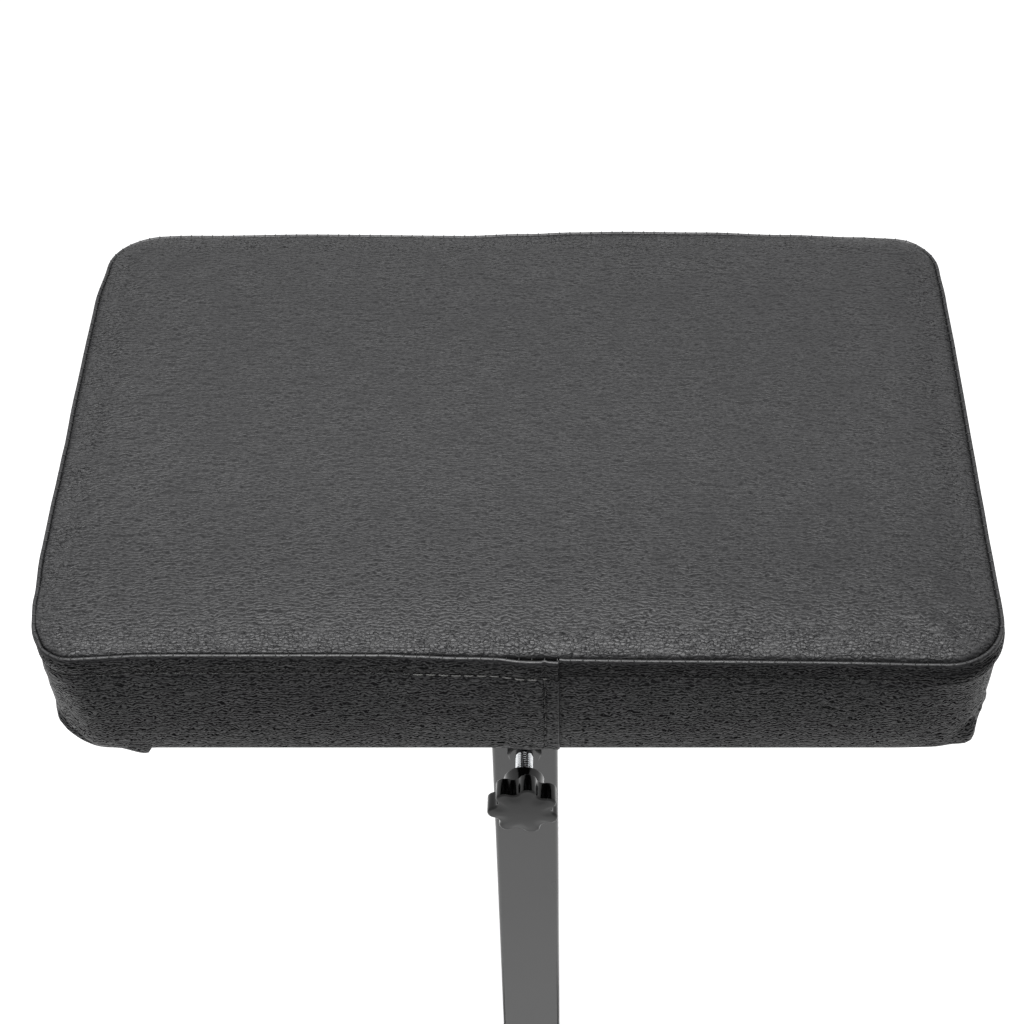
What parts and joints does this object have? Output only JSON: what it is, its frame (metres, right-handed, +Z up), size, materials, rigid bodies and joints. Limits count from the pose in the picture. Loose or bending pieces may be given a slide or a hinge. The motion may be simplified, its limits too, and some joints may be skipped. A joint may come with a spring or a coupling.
{
  "type": "arm rest stand",
  "caption": "Upholstered rectangular arm rest pad on a telescoping square post with a star-knob clamp and an H-shaped base.",
  "frame": {"origin": "on the floor under the middle of the post, the pad and the base", "axes": "+Z up along the post; +X along the pad's long side; -Y towards the clamp knob"},
  "size_m": [0.4552, 0.32, 0.9],
  "materials": {
    "leathercloth_top": "pebbled, soft sheen",
    "leathercloth_band": "pebbled, soft sheen",
    "foam": "open-cell",
    "plywood": "stained black",
    "black_powder_coat": "satin powder coat",
    "bright_zinc": "bright plated",
    "zinc_steel": "clear zinc plated",
    "black_phenolic": "moulded, polished",
    "black_nylon": "moulded, fine matt",
    "white_nylon": "moulded",
    "black_rubber": "moulded, matt"
  },
  "bodies": {
    "stand": {"outer_post": "black_powder_coat", "post_sleeve": "black_nylon", "clamp_nut": "black_powder_coat", "post_flange": "black_powder_coat", "flange_bolts": "zinc_steel", "flange_washers": "zinc_steel", "flange_nuts": "zinc_steel", "base_plate": "black_powder_coat", "base_crossbar": "black_powder_coat", "base_foot_left": "black_powder_coat", "base_foot_right": "black_powder_coat", "foot_end_caps": "black_nylon", "rubber_feet": "black_rubber", "foot_screws": "zinc_steel"},
    "rest": {"cover_top_panel": "leathercloth_top", "cover_side_band": "leathercloth_band", "foam_core": "foam", "pad_board": "plywood", "cover_staples": "zinc_steel", "tee_nuts": "zinc_steel", "pad_bolts": "zinc_steel", "pad_washers": "zinc_steel", "head_plate": "black_powder_coat", "head_gussets": "black_powder_coat", "inner_post": "black_powder_coat", "inner_post_guide": "black_nylon"},
    "thrust_tip": {"thrust_pad": "white_nylon"},
    "clamp_screw": {"clamp_stud": "bright_zinc", "star_knob": "black_phenolic"}
  },
  "joints": [
    {"name": "height_slide", "type": "slide", "parent": "stand", "child": "rest", "axis": [0, 0, 1], "range_m": [-0.095, 0.145]},
    {"name": "clamp_advance", "type": "slide", "parent": "stand", "child": "thrust_tip", "axis": [0, -1, 0], "range_m": [0, 0.0045]},
    {"name": "clamp_turn", "type": "hinge", "parent": "thrust_tip", "child": "clamp_screw", "pos_m": [0, -0.03, 0.659], "axis": [0, -1, 0], "range_deg": [0, 1080]}
  ],
  "couplings": [
    {"joint": "clamp_turn", "follows": "clamp_advance", "rad_per_m": 4188.8}
  ]
}
